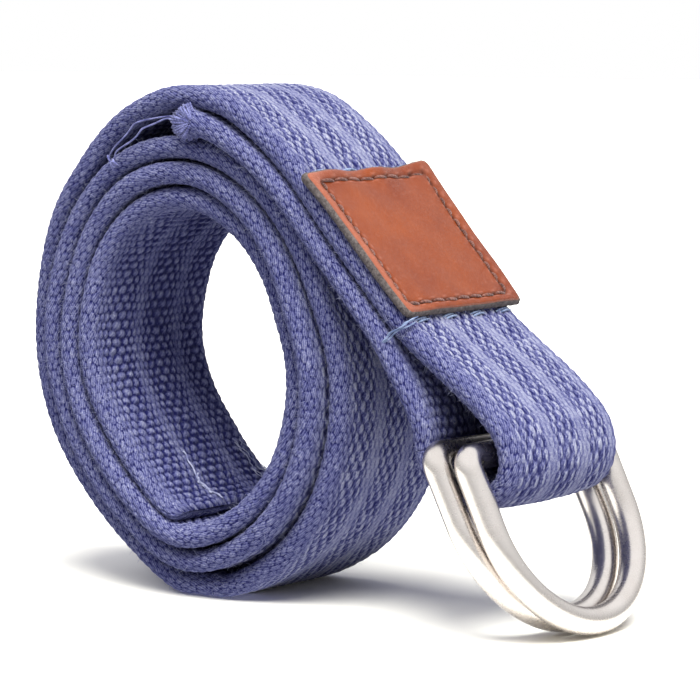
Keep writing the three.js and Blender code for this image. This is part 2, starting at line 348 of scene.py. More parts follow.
nickelLook = {"colour": (0.69, 0.648, 0.622), "worn": (0.47, 0.41, 0.36), "rough": 0.27,
              "cloudScale": 90.0, "brush": (260.0, 900.0, 900.0), "grainScale": 3200.0, "bump": 0.00003}


# Clouds darken the plating towards a warm brown, partly wear and partly painted dark reflections, and roughen
# it, with faint brushing over them.
def nickelFinish(c):
    f = Finish("satin_nickel")
    cloud = f.noise(f.place(), c["cloudScale"], 5.0, 0.6)
    smear = f.noise(f.node("Mapping", None, {"Vector": f.place(), "Scale": c["brush"]}), 1.0, 4.0, 0.6)
    grain = f.noise(f.place(), c["grainScale"], 2.0)
    rough = c["rough"] + (cloud - 0.5) * 0.16 + (smear - 0.5) * 0.12
    # warm brown clouds painted on the plating: dark reflections as well as wear
    colour = f.mix(((cloud - 0.42) * 2.2).clamp() * 0.5, c["colour"], c["worn"])
    return f.done(Base_Color=colour, Metallic=1.0, Roughness=rough.clamp(0.12, 0.6),
                  Normal=f.bump(grain * 0.6 + smear, c["bump"], 0.35))


leatherLook = {"colour": (0.236, 0.049, 0.007), "dark": (0.140, 0.023, 0.004), "rim": (0.50, 0.215, 0.15),
               "groove": (0.045, 0.012, 0.006), "edge": (0.155, 0.132, 0.118),
               "edgeDark": (0.040, 0.033, 0.030), "cloudScale": 75.0, "poreScale": 1700.0,
               "napScale": 1300.0, "bump": 0.00014}


# A cloudy tan top with painted shade in the sewing groove and its holes, paler beside the holes as a painted
# highlight and along the near rim as wear; the cut side is raw and grey.
def leatherFinish(c):
    f = Finish("tan_leather")
    side, groove, worn = f.stored("side"), f.stored("groove"), f.stored("worn")
    raw = ((side - 0.35) * 5.0).clamp()
    cloud = f.noise(f.place(), c["cloudScale"], 4.0)
    nap = f.noise(f.place(), c["napScale"], 5.0, 0.75)
    pore = f.node("TexVoronoi", {"feature": "DISTANCE_TO_EDGE"},
                  {"Vector": f.place(), "Scale": c["poreScale"]})
    top = f.mix(((cloud - 0.36) * 1.9).clamp(), c["dark"], c["colour"])
    # pale flecks at random, the painted highlight on the leather drawn up beside each hole, and the wear
    # along the near rim
    top = f.mix(((nap - 0.5).clamp() * 0.6 + worn * 0.5).clamp(), top, c["rim"])
    # painted shade along the sewing groove, darkest in the stitch holes
    top = f.mix((groove * 1.15).clamp(), top, c["groove"])
    cut = f.mix(((nap - 0.34) * 3.0).clamp(), c["edgeDark"], c["edge"])
    height = (pore.math("MINIMUM", 0.10) * 3.0 + cloud * 0.6) * (1 - raw) + nap * raw * 3.0
    rough = (0.30 + (cloud - 0.5) * 0.20 + groove * 0.3) * (1 - raw) + raw * 0.9
    return f.done(Base_Color=f.mix(raw, top, cut), Roughness=rough, Normal=f.bump(height, c["bump"], 0.6),
                  Specular_IOR_Level=0.26)


threadLook = {"turns": 34.0, "fuzzScale": 2200.0, "patchyScale": 620.0, "bump": 0.00008}


# Plies that wind round the thread as they run along it, patchy in colour.
def threadFinish(name, light, dark, c=threadLook):
    f = Finish(name)
    along, around, _ = f.parts(f.laid())
    ply = (along * c["turns"] + around * (2 * pi)).sine() * 0.5 + 0.5
    fuzz = f.noise(f.place(), c["fuzzScale"], 3.0)
    patchy = f.noise(f.place(), c["patchyScale"], 2.0)
    colour = f.mix((ply * 0.5 + fuzz * 0.4 + (patchy - 0.5) * 2.2).clamp(), dark, light)
    return f.done(Base_Color=colour, Roughness=0.7, Normal=f.bump(ply + fuzz * 0.4, c["bump"], 0.8),
                  Sheen_Weight=0.2)


nickel = nickelFinish(nickelLook)
leather = leatherFinish(leatherLook)
brownThread = threadFinish("brown_thread", (0.20, 0.085, 0.060), (0.045, 0.015, 0.010))
paleThread = threadFinish("pale_blue_thread", (0.27, 0.34, 0.47), (0.07, 0.10, 0.19))
blueYarn = threadFinish("blue_yarn", (0.22, 0.23, 0.43), (0.035, 0.038, 0.14))
fluff = threadFinish("pale_fluff", (0.46, 0.48, 0.60), (0.15, 0.16, 0.30))
print("finishes made")


# "ease" opens the turns inward, "settle" flattens the foot, and the inner end rises and thins.
strapSize = {"wide": 38.0, "thick": 4.4, "pitch": 5.4, "ease": 0.07, "first": 130.0, "last": 1350.0,
             "settle": 0.8, "settleWide": 24.0, "middle": (-4.0, 48.0), "endSpan": 40.0,
             "endLift": 0.9, "endThin": 1.2, "roundStart": 1.9, "roundEnd": 1.5, "roundThick": 2.3,
             "fan": 0.5, "fanLong": 7.0, "belly": 1.0, "bellyLess": 0.4, "bellyLong": 13.0, "bellyRow": 17}
coilReach = [40.8, 39.82, 41.84, 45.23, 48.5, 49.34, 47.39, 44.57, 43.22, 42.41, 42.69, 45.17, 49.75,
             48.58, 45.98, 42.88]  # by direction, every 22.5 degrees
coilBack = [1.6, 4.27, 3.71, 2.99, 1.87, 1.37, -0.48, -0.07, 1.24, 0.11, -2.2, 2.8, 3.0, 0.2, -1.4]
leadRows = [  # x, z, back, thick
    (-5.2, 94.9, -1.6, 4.4), (-1.2, 94.9, -1.6, 4.8), (4.9, 92.9, -1.4, 4.4), (12.1, 88.8, -1.2, 4.2),
    (18.3, 83.9, -1.0, 4.2), (23.4, 78.7, -0.9, 4.2), (30.2, 70.7, -0.8, 4.2), (37.1, 62.9, -0.8, 4.2),
    (44.0, 55.1, -0.9, 4.2), (48.4, 49.0, -1.0, 4.3), (52.0, 43.6, -1.0, 4.3), (54.3, 38.6, -1.0, 4.3),
    (55.1, 34.4, -1.0, 4.3), (56.7, 30.4, -1.0, 4.3), (60.4, 27.2, -1.0, 4.3), (65.6, 26.0, -1.0, 4.3),
    (70.6, 27.1, -1.0, 4.3), (73.4, 30.3, -1.0, 4.3), (73.9, 34.4, -1.0, 4.3), (72.2, 38.8, -1.0, 4.3),
    (68.6, 42.4, -0.8, 4.3), (64.2, 45.9, -0.6, 4.4), (59.2, 49.3, -0.4, 4.4), (53.6, 53.2, -0.2, 4.4),
    (48.2, 57.5, 0, 4.4), (40.55, 66.16, 0, 4.4), (32.9, 74.8, 0.1, 4.4), (25.2, 83.5, 0.3, 4.4),
    (21.8, 87.0, 0.4, 4.4), (16.1, 91.9, 0.6, 4.4), (8.6, 97.0, 0.9, 4.4), (3.0, 99.2, 1.2, 4.4),
    (-3.6, 100.1, 1.4, 4.4), (-11.2, 99.4, 1.7, 4.4), (-20.6, 95.6, 2.1, 4.4), (-27.6, 90.1, 2.4, 4.4)]


# The roll: reach from the middle by direction, less a pitch per turn.
def coilRows(c):
    deg = np.arange(c["first"], c["last"] + 0.1, 5.0)
    turns = deg / 360
    direction = (deg % 360) / (360 / len(coilReach))
    reach = through(np.array(coilReach)[:, None], direction, closed=True)[:, 0]
    endward = np.clip((deg - (c["last"] - c["endSpan"])) / c["endSpan"], 0, 1)
    out = reach - c["pitch"] * turns + c["ease"] * turns ** 2 + c["endLift"] * endward
    x = c["middle"][0] + out * np.cos(np.radians(deg))
    z = c["middle"][1] + out * np.sin(np.radians(deg))
    sunk = z - c["settle"] * np.exp(-((deg - 270) / c["settleWide"]) ** 2)
    z = np.where(deg < 360, np.maximum(sunk, c["thick"] / 2), z)
    back = through(np.array(coilBack)[:, None], (deg - 90) / 90)[:, 0]
    return np.stack([x, z, back, c["thick"] - c["endThin"] * endward], -1), deg


# Centre line as columns x, z, back, thick and heading, evenly spaced along its length.
def strapLine(c, step=0.1, rowSteps=40, blend=20):
    coil, deg = coilRows(c)
    rows = np.concatenate([leadRows, coil])
    at = np.arange(0, len(rows) - 1 + 1e-9, 1 / rowSteps)
    line = through(rows, at)
    length = np.concatenate([[0], np.cumsum(np.hypot(*np.diff(line[:, :2], axis=0).T))])
    even = np.arange(0, length[-1], step)
    line = np.stack([np.interp(even, length, line[:, k]) for k in range(4)], -1)
    head = np.unwrap(np.arctan2(np.gradient(line[:, 1]), np.gradient(line[:, 0])))
    soft = np.hanning(2 * blend + 1)
    head = np.convolve(np.pad(head, blend, mode="edge"), soft / soft.sum(), "valid")
    marks = np.interp(np.arange(len(leadRows), len(rows)), at, length)
    return {"s": even, "x": line[:, 0], "z": line[:, 1], "back": line[:, 2], "thick": line[:, 3],
            "head": head, "length": length[-1], "byDeg": lambda d: float(np.interp(d, deg, marks)),
            "byRow": lambda r: float(np.interp(r, at, length))}


strap = strapLine(strapSize)
byRow, byDeg = strap["byRow"], strap["byDeg"]
print("strap line", round(strap["length"], 1), "mm")


# The centre line's x, z, back, thick and heading at any lengths.
def strapAt(s):
    return [np.interp(s, strap["s"], strap[key]) for key in ("x", "z", "back", "thick", "head")]


weave = {"row": 1.92, "lane": 1.95, "zigzag": 0.36, "round": 0.95, "long": 0.45, "plump": 2.2,
         "tall": 0.50, "bandTall": 0.16, "edgeTall": 0.24, "innerTall": 0.62, "ridgeLess": 0.4,
         "band": 11.3, "bandAt": -5.0, "bandFrom": 0.35, "ridge": 12.5, "ridgeAt": 4.0, "ridgeFrom": 0.5,
         "faceLanes": (0.508, 0.17), "innerLanes": (0.526, 0.20), "edgeLane": 1.35,
         "middle": 0.62, "bandUp": 0.05, "ridgeUp": 0.10}


# How far a row wanders along the webbing, by numpy's sine or the shader's.
def rowSway(s, y, sine):
    return sine(s * 0.31 + y * 0.5) * 0.16 + sine(s * 0.87 - y * 0.23 + 1.3) * 0.10


# Three waves cross, cos(a + b) + cos(a - b) + third cos(2 a), scaled to 0 in the gaps and 1 on top:
# round grains, every other row half a grain over, or with a small third long ones parted by slits.
def grainWave(along, across, third, cosine):
    wave = cosine(along + across) + cosine(along - across) + third * cosine(along * 2)
    return (wave + 1.5) / (third + 3.5)


# Grain number counted round the webbing from the middle of the outer face: its slope is the grains
# per millimetre, close together in the smooth bands, ridges and edges and wide between them.
def laneTable(wide, thick, c):
    p = np.linspace(0, girth(wide, thick), 4001)
    y, *_, face, edge = ringShape(p, wide, thick)
    outer = c["faceLanes"][0] + c["faceLanes"][1] * np.cos(2 * pi * (y - c["bandAt"]) / c["band"])
    inner = c["innerLanes"][0] + c["innerLanes"][1] * np.cos(2 * pi * (y - c["ridgeAt"]) / c["ridge"])
    slope = np.where(face > 0, outer, inner) * (1 - edge) + edge / c["edgeLane"]
    lane = np.concatenate([[0], np.cumsum((slope[1:] + slope[:-1]) / 2 * np.diff(p))])
    return p, lane * 2 * round(lane[-1] / 2) / lane[-1]


# Stripes across the webbing: a cosine, cut off at its foot and doubled, from 0 to 1.
def stripes(y, at, every, foot):
    return np.clip((np.cos(2 * pi * (y - at) / every) - foot) * 2, 0, 1)


# Woven relief at length s and grain number n: the crossing waves made plump and as tall as the zone asks,
# in rows that sway, and zigzag round the edges. Smooth bands and inner ridges stand up a little.
def wovenRelief(s, n, y, face, edge, c):
    s = s + rowSway(s, y, np.sin) + c["zigzag"] * edge * np.cos(pi * n)
    third = c["round"] + (c["long"] - c["round"]) * (face > 0) * (1 - edge)
    grain = np.clip(grainWave(pi * s / c["row"], 2 * pi * n, third, np.cos), 0, 1)
    grain = 1 - (1 - grain) ** c["plump"]
    band = stripes(y, c["bandAt"], c["band"], c["bandFrom"]) * (face > 0) * (1 - edge)
    ridge = stripes(y, c["ridgeAt"], c["ridge"], c["ridgeFrom"]) * (face < 0) * (1 - edge)
    uneven = 0.9 + 0.2 * np.sin(s * 0.21 + 2 * np.sin(y * 0.4)) * np.sin(y * 0.33 + 0.4)
    outerTall = c["tall"] + (c["bandTall"] - c["tall"]) * band
    tall = np.where(face > 0, outerTall, c["innerTall"] * (1 - c["ridgeLess"] * ridge))
    tall = tall * (1 - edge) + c["edgeTall"] * edge
    return (grain - c["middle"]) * tall * uneven + c["bandUp"] * band + c["ridgeUp"] * ridge, band, ridge


# Once round the webbing: two flat faces and two round edges.
def girth(wide, thick):
    r, half = thick / 2, wide / 2 - thick / 2
    return 4 * half + 2 * pi * r


# Where the section's points lie, as distances walked once round it from the middle of the outer face.
def webbingRing(wide, thick, faceStep, innerStep, edgeStep):
    r, half = thick / 2, wide / 2 - thick / 2
    ends = [0, half, half + pi * r, 3 * half + pi * r, 3 * half + 2 * pi * r, girth(wide, thick)]
    face, inner, edge = (max(2, int(round(length / step)))
                         for length, step in ((half, faceStep), (half, innerStep), (pi * r, edgeStep)))
    return np.concatenate([np.linspace(a, b, number + 1)[:-1] for a, b, number
                           in zip(ends, ends[1:], (face, edge, 2 * inner, edge, face))])


# The section at distances p round it, straight on its faces and a half circle at each edge: y, h, their
# normals, the face (1 outer, -1 inner), and how near an edge, 0 to 1.
def ringShape(p, wide, thick):
    r = thick / 2
    half = wide / 2 - r
    p = np.mod(p, girth(wide, thick))
    a = (p - half) / r
    b = (p - 3 * half - pi * r) / r
    near = (p > half) & (p < half + pi * r)
    far = (p > 3 * half + pi * r) & (p < 3 * half + 2 * pi * r)
    inner = (p >= half + pi * r) & (p <= 3 * half + pi * r)
    y = np.where(p <= half, p, np.where(inner, 2 * half + pi * r - p, p - girth(wide, thick)))
    y = np.where(near, half + r * np.sin(a), np.where(far, -half - r * np.sin(b), y))
    h = np.where(inner, -r, r)
    h = np.where(near, r * np.cos(a), np.where(far, -r * np.cos(b), h))
    ny = np.where(near, np.sin(a), np.where(far, -np.sin(b), 0.0))
    nh = np.where(near, np.cos(a), np.where(far, -np.cos(b), np.where(inner, -1.0, 1.0)))
    edge = np.clip((np.abs(y) - half + 1.0) / 1.2, 0, 1)
    return y, h, ny, nh, np.where(nh >= 0, 1, -1), edge


# The strap between two lengths: its section carried along the centre line, square to it, and pushed out
# by the weave. Slow sines keep it from lying dead straight, and the loop hangs fuller in its middle.
def strapPiece(name, start, end, faceStep, innerStep, alongStep, roundStart=False, roundEnd=False):
    c, wide = strapSize, strapSize["wide"]
    count = int(round((end - start) / alongStep)) + 1
    s = np.linspace(start, end, count)[:, None]
    x, z, back, thick, head = strapAt(s)
    ring = webbingRing(wide, c["thick"], faceStep, innerStep, fineStep)
    at = s + 0 * ring[None]
    y, h, ny, nh, face, edge = ringShape(ring[None] + 0 * at, wide, c["thick"])
    h = h * thick / c["thick"]
    lane = np.interp(ring, *lanes)
    lane = np.where(ring > girth(wide, c["thick"]) / 2, lane - lanes[1][-1], lane)[None] + 0 * at
    height, band, ridge = wovenRelief(at, lane, y, face, edge, weave)
    # a rounded end pulls the section in over its last millimetres
    pull = np.zeros_like(s)
    if roundStart:
        pull += c["roundStart"] * np.clip(1 - (s - start) / c["roundStart"], 0, 1) ** 2
        # and the near corner of the cut end fans out
        h = h * (1 + c["fan"] * np.clip((y - 15.0) / 2.5, 0, 1) * np.clip(1 - at / c["fanLong"], 0, 1) ** 1.3)
    if roundEnd:
        pull += c["roundEnd"] * np.clip(1 - (end - s) / c["roundEnd"], 0, 1) ** 2
    sag = 0.060 * np.sin(at * 0.045 + 1.0) * np.sin(y * 0.16) + 0.042 * np.sin(at * 0.11 + y * 0.21)
    belly = c["belly"] * np.cos(pi * y / wide) - c["bellyLess"]
    sag = sag + belly * np.exp(-((at - byRow(c["bellyRow"])) / c["bellyLong"]) ** 2)
    y = y * (1 - pull / (wide / 2)) + ny * height
    h = h * (1 - pull / c["roundThick"]) + nh * height + sag
    wobble = 0.28 * np.sin(at * 0.052 + 0.6) + 0.16 * np.sin(at * 0.137)
    grid = np.stack([x + np.sin(head) * h, back + wobble - y, z - np.cos(head) * h], -1)
    grid[..., 2] = np.maximum(grid[..., 2], 0.0)
    verts = np.concatenate([grid.reshape(-1, 3), [grid[0].mean(0), grid[-1].mean(0)]]) + toPart
    quads, tris = facingOut(verts, *tubeFaces(count, len(ring)))
    laid = np.stack([at, lane], -1).reshape(-1, 2) / mapScale
    laid = np.concatenate([laid, laid[[0, -1]]])
    fields = {"outer": np.append(face * (1 - edge), [0, 0]), "edge": np.append(edge, [1, 1]),
              "flatBand": np.append(band + 0.5 * ridge, [0, 0])}
    piece = meshPiece(name, verts, quads, tris, canvas, laid, fields, lanes[1][-1] / mapScale)
    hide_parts("strap")
    print(name, len(quads) * 2 + len(tris), "triangles")


lanes = laneTable(strapSize["wide"], strapSize["thick"], weave)
canvas = canvasFinish(canvasLook, weave)
fineStep, halfStep, hiddenStep = 0.36, 0.6, 3.0  # millimetres; coarse where other turns lie over it
strapPiece("strap_fold_back", 0, byRow(12), halfStep, halfStep, fineStep, roundStart=True)
strapPiece("strap_ring_loop", byRow(12), byRow(26), fineStep, halfStep, fineStep)
strapPiece("strap_outer_turn", byRow(26), byDeg(270), fineStep, hiddenStep, fineStep)
strapPiece("strap_second_turn", byDeg(270), byDeg(412), fineStep, hiddenStep, fineStep)
strapPiece("strap_inner_turns", byDeg(412), byDeg(960), hiddenStep, hiddenStep, 0.42)
strapPiece("strap_core", byDeg(960), strap["length"], hiddenStep, fineStep, fineStep, roundEnd=True)


ringSize = {"wire": 5.4, "wide": 44.8, "tall": 35.4, "corner": 2.9, "straight": 14.3, "along": 420,
            "around": 40, "soften": 4}
# name, the CAD ring it stands for, x, y, yaw, tilt, turn
ringRows = [("ring_front", "d_ring_front", 67.9, -1.2, -1.5, 64.4, -0.3),
            ("ring_back", "d_ring_back", 60.9, -1.1, -1.4, 62.3, 1.0)]


# The D outline at even spacing: bar, corners, straight sides, round bow.
def ringOutline(c):
    half = c["wide"] / 2
    a = np.linspace(0, pi / 2, 40)
    right = np.concatenate([
        np.stack([np.linspace(0, half - c["corner"], 30)[:-1], np.zeros(29)], -1),
        np.stack([half - c["corner"] + c["corner"] * np.sin(a), c["corner"] * (1 - np.cos(a))], -1)[:-1],
        np.stack([np.full(20, half), np.linspace(c["corner"], c["straight"], 20)], -1)[:-1],
        np.stack([half * np.cos(a), c["straight"] + (c["tall"] - c["straight"]) * np.sin(a)], -1)])
    left = right[1:-1][::-1] * [-1, 1]
    loop = np.concatenate([right, left, right[:1]])
    length = np.concatenate([[0], np.cumsum(np.hypot(*np.diff(loop, axis=0).T))])
    even = np.linspace(0, length[-1], c["along"], endpoint=False)
    loop = np.stack([np.interp(even, length, loop[:, k]) for k in range(2)], -1)
    soft = np.hanning(2 * c["soften"] + 1)
    return np.stack([np.convolve(np.pad(loop[:, k], c["soften"], mode="wrap"), soft / soft.sum(), "valid")
                     for k in range(2)], -1)


# Wire carried round the D outline, then turned into its place and set down on the floor.
def ringPiece(name, node, x, y, yaw, tilt, turn, c):
    loop = ringOutline(c)
    run = np.roll(loop, -1, 0) - np.roll(loop, 1, 0)
    run /= np.linalg.norm(run, axis=1, keepdims=True)
    out = np.stack([run[:, 1], -run[:, 0]], -1)
    yaw, tilt, turn = (radians(v) for v in (yaw, tilt, turn))
    side = np.array([-sin(yaw), cos(yaw), 0])
    down = np.array([cos(yaw) * cos(tilt), sin(yaw) * cos(tilt), -sin(tilt)])
    u = side * cos(turn) + down * sin(turn)
    v = down * cos(turn) - side * sin(turn)
    n = np.cross(u, v)
    a = np.linspace(0, 2 * pi, c["around"], endpoint=False)
    r = c["wire"] / 2
    flat = loop[:, None] + out[:, None] * np.cos(a)[:, None] * r
    pts = flat[..., :1] * u + flat[..., 1:] * v + (np.sin(a) * r)[:, None] * n
    pts[..., 2] -= pts[..., 2].min()
    pts += [x, y, 0]
    verts = pts.reshape(-1, 3) + toPart
    quads, tris = facingOut(verts, *tubeFaces(len(loop), len(a), joined=True))
    piece = meshPiece(name, verts, quads, tris, nickel)
    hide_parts(node)


for row in ringRows:
    ringPiece(*row, ringSize)
print("rings made")


# "seam" is the inset that the sewing line has on the loops; seamA, seamB and seamAt place it.
patchSize = {"wide": 40.1, "tall": 34.7, "thick": 2.0, "corner": 1.3, "lift": 0.3, "across": 0.55,
             "head": (25.2, 83.5), "foot": (48.2, 57.5), "seam": 2.6, "seamA": 2.95, "seamB": 2.25,
             "seamAt": (-1.05, 0.38), "around": 600, "nearTopIn": 1.1, "nearFootIn": 1.2, "farTopDown": 1.0,
             "farTopUp": 0.3}


# Directions down the patch and away from the strap, its middle, and how far its underside is from it.
def patchFrame(c):
    head, foot = np.array(c["head"]), np.array(c["foot"])
    t = (foot - head) / np.linalg.norm(foot - head)
    n = np.array([-t[1], t[0]])
    if n[0] < 0:
        n = -n
    mid = (head + foot) / 2
    return t, n, mid, strapSize["thick"] / 2 + c["lift"]


# Points of the patch from a across, b down the strap and up over its face, in millimetres.
def onPatch(a, b, up, c=patchSize):
    t, n, mid, base = patchFrame(c)
    x = mid[0] + t[0] * b + n[0] * (base + up)
    z = mid[1] + t[1] * b + n[1] * (base + up)
    return np.stack([x, a + c["across"], z], -1) + toPart


# Rounded rectangles inset by given distances, count points each, as a and b: every side and corner
# keeps its share of the points.
def insetLoop(insetA, insetB, count, c):
    halfA, halfB = (c["wide"] / 2 - insetA)[:, None], (c["tall"] / 2 - insetB)[:, None]
    r = np.minimum(0.8 * np.minimum(halfA, halfB), c["corner"] + 0.10 * np.maximum(insetA, 0)[:, None])
    t = np.linspace(0, 1, count, endpoint=False)
    part = np.array([0.215, 0.035] * 4)
    start = np.concatenate([[0], np.cumsum(part)])
    k = np.clip(np.searchsorted(start, t, side="right") - 1, 0, 7)
    f = ((t - start[k]) / part[k])[None]
    straightA, straightB = halfA - r, halfB - r
    a = np.zeros((len(halfA), count))
    b = np.zeros_like(a)
    for q, (ca, cb, da, db) in enumerate([(1, -1, 0, 1), (1, 1, -1, 0), (-1, 1, 0, -1), (-1, -1, 1, 0)]):
        m = (k == 2 * q)[None]
        a = np.where(m, ca * (halfA if da == 0 else straightA * (1 - 2 * f)), a)
        b = np.where(m, cb * (halfB if db == 0 else straightB * (1 - 2 * f)), b)
        m = (k == 2 * q + 1)[None]
        g = (q * 90 + f * 90) * pi / 180
        ca, cb = [(1, 1), (-1, 1), (-1, -1), (1, -1)][q]
        a = np.where(m, ca * straightA + r * np.cos(g), a)
        b = np.where(m, cb * straightB + r * np.sin(g), b)
    shift = np.clip(insetA / c["seamA"], 0, 1)[:, None]
    return a + shift * c["seamAt"][0], b + shift * c["seamAt"][1]


# A smooth hump, e to the -x squared.
def bell(x):
    return np.exp(-x * x)


# How far a point lies towards one corner of the patch, 0 to 1; right and down are its signs.
def towards(a, b, right, down):
    return np.clip(right * a / 20, 0, 1) * np.clip(down * b / 17, 0, 1)


# A slow wave along the top rim, gone below the upper third.
def rimWave(a, b):
    return 0.34 * np.sin(a * 0.42 + 0.7) * np.clip((-b - 9) / 8, 0, 1)


# Concentric inset loops: top face with its sewing groove, rolled rim, raw side, underside. The top is
# the thickness, less a groove and holes, plus humps beside them, a raised rim and slow waves.
def patchPiece(c):
    count, seam = c["around"], c["seam"]
    inset = np.concatenate([[16.0, 14, 12, 10, 8.5, 7.2, 6.0], np.linspace(5.2, 0.9, 21),
                            np.linspace(0.7, 0.08, 5)])
    a, b = insetLoop(inset * c["seamA"] / seam, inset * c["seamB"] / seam, count, c)
    seamA, seamB = c["wide"] / 2 - c["seamA"], c["tall"] / 2 - c["seamB"]
    fromMiddle = (a - c["seamAt"][0]), (b - c["seamAt"][1])
    onSide = np.abs(fromMiddle[0]) / seamA > np.abs(fromMiddle[1]) / seamB
    phase = np.where(onSide, (fromMiddle[1] + seamB) / (2 * seamB) * stitchSize["down"],
                     (fromMiddle[0] + seamA) / (2 * seamA) * stitchSize["across"])
    hole = (0.5 + 0.5 * np.cos(2 * pi * phase)) ** 3
    gap = (inset - seam)[:, None]
    near, close = bell(gap / 0.6), bell(gap / 0.42)
    pucker = hole * bell((np.abs(gap) - 0.75) / 0.30)  # leather drawn up beside each hole
    rim = bell((inset - 1.2) / 0.8)[:, None] * (0.7 + 0.3 * np.cos(2 * pi * phase))
    up = c["thick"] - 0.18 * near - 0.34 * hole * close + 0.12 * pucker + 0.12 * rim
    up = up - np.array([0.0] * (len(inset) - 4) + [0.02, 0.07, 0.17, 0.36])[:, None]
    wave = rimWave(a, b)
    up = up + wave + 0.07 * np.sin(a * 0.3 + b * 0.23) + 0.05 * np.sin(a * 0.55 - b * 0.41 + 1)
    # the raw side, a little fuller in its middle and fuzzy
    drop = np.array([0.50, 0.8, 1.15, 1.5, 1.8, 2.05])
    bulge = -np.array([0.12, 0.26, 0.34, 0.30, 0.15, -0.25])
    sideA, sideB = insetLoop(bulge, bulge, count, c)
    k = np.arange(count)[None]
    fuzzy = 0.05 * np.sin(k * 1.7) + 0.05 * np.sin(k * 0.63 + 1 + 2 * drop[:, None])
    sideA, sideB = sideA + fuzzy * np.sign(sideA), sideB + fuzzy * np.sign(sideB)
    sideUp = c["thick"] - drop[:, None] + wave[-1:]
    under = np.array([1.2, 8.0, 15.0])
    underA, underB = insetLoop(under, under, count, c)
    allA, allB = np.concatenate([a, sideA, underA]), np.concatenate([b, sideB, underB])
    allUp = np.concatenate([up, sideUp, 0 * underA])
    farTop = towards(allA, allB, 1, -1)  # stands up
    nearFoot = towards(allA, allB, -1, 1)  # both near corners are drawn in
    nearTop = towards(allA, allB, -1, -1)
    grid = onPatch(allA - c["nearTopIn"] * nearTop ** 2 + c["nearFootIn"] * nearFoot ** 2,
                   allB - c["farTopDown"] * farTop ** 2 - 0.2 * wave[-1:], allUp + c["farTopUp"] * farTop)
    middleA, middleB = c["seamAt"]
    ends = onPatch(np.full(2, middleA), np.full(2, middleB), np.array([allUp[0].mean(), 0.0]))
    verts = np.concatenate([grid.reshape(-1, 3), ends])
    quads, tris = facingOut(verts, *tubeFaces(len(allA), count))
    top = len(a)
    side = np.concatenate([np.zeros(top), np.ones(len(allA) - top)])[:, None] + np.zeros((1, count))
    side[top - 1] = 0.5
    still = np.zeros((len(allA) - top, count))
    # painted shade: darker along the sewing groove, darkest in each hole
    dark = np.concatenate([near * 0.35 + 0.65 * close * hole, still])
    # paler beside each hole, a painted highlight on the drawn-up leather, and along the near side of the rim,
    # as wear
    rubbed = bell((inset[:, None] - 0.5) / 1.3) * np.clip(-a / 18, 0, 1) ** 4
    worn = np.concatenate([0.5 * pucker + 0.5 * rubbed, still])
    piece = meshPiece("patch", verts, quads, tris, leather, None,
                      {"side": np.append(side, [0, 1]), "groove": np.append(dark, [0, 0]),
                       "worn": np.append(worn, [0, 0])})
    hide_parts("leather_patch")


stitchSize = {"across": 8, "down": 11, "radius": 0.30, "rise": 0.34, "sink": 0.55, "lean": 0.55, "gap": 0.07}

patchPiece(patchSize)


# Saddle stitches in the groove: short low arches between holes along the four sides, each leaning a
# little across the line, thickest in the middle.
def patchStitches(c, p):
    halfA, halfB = p["wide"] / 2 - p["seamA"], p["tall"] / 2 - p["seamB"]
    corners = np.array([(-halfA, -halfB), (halfA, -halfB), (halfA, halfB), (-halfA, halfB)]) + p["seamAt"]
    paths = []
    t = np.linspace(0, 1, 11)
    arch = p["thick"] - 0.34 + c["rise"] * np.sin(pi * t) ** 0.6 - c["sink"] * np.abs(2 * t - 1) ** 5
    for side, number in enumerate((c["across"], c["down"], c["across"], c["down"])):
        begin, end = corners[side], corners[(side + 1) % 4]
        normal = np.array([-(end - begin)[1], (end - begin)[0]]) / np.linalg.norm(end - begin)
        holes = np.linspace(0, 1, number + 1)
        for k in range(number):
            f = holes[k] + (holes[k + 1] - holes[k]) * (c["gap"] + (1 - 2 * c["gap"]) * t)
            lean = c["lean"] * (t - 0.5) + 0.12 * np.sin(k * 2.3 + side)
            a, b = (begin + (end - begin) * f[:, None] + normal * lean[:, None]).T
            drawnIn = p["nearTopIn"] * towards(a, b, -1, -1) ** 2
            paths.append(onPatch(a - drawnIn, b, arch + rimWave(a, b)))
    swell = c["radius"] * (0.72 + 0.35 * np.sin(pi * t) ** 0.7)
    threadTubes("patch_stitching", np.array(paths), swell[None], brownThread, 8)


patchStitches(stitchSize, patchSize)
print("patch made")


# A point on the webbing: length s, y across, up over its outer face, or over its inner one at side -1.
def onStrap(s, y, up, side=1):
    x, z, back, thick, head = strapAt(s)
    h = side * (thick / 2 + up)
    return np.stack([x + np.sin(head) * h, y + back, z - np.cos(head) * h], -1) + toPart


seamThread = {"radius": 0.24, "long": 4.2, "pitch": 9.4, "first": -13.2, "number": 4,
              "rows": (-0.7, -1.25), "rise": 0.62, "sunk": 0.25}


# Long running stitches across the webbing just past one end of the patch, in two strands: each is a
# low arch from hole to hole. Direction is the way along the strap.
def seamRow(name, s, c, direction):
    t = np.linspace(0, 1, 13)
    up = c["rise"] * np.sin(pi * t) ** 0.5 - c["sunk"]
    paths = []
    for row, ahead in enumerate(c["rows"]):
        for k in range(c["number"]):
            y = c["first"] + k * c["pitch"] + row * 0.7 + c["long"] * (t - 0.5)
            slant = ahead + 0.35 * (t - 0.5) + 0.1 * np.sin(k * 2.0)
            paths.append(onStrap(s + direction * slant, y, up))
    threadTubes(name, np.array(paths), c["radius"], paleThread, 7)


seamRow("seam_below_patch", byRow(24), seamThread, 1)
seamRow("seam_above_patch", byRow(27), seamThread, -1)


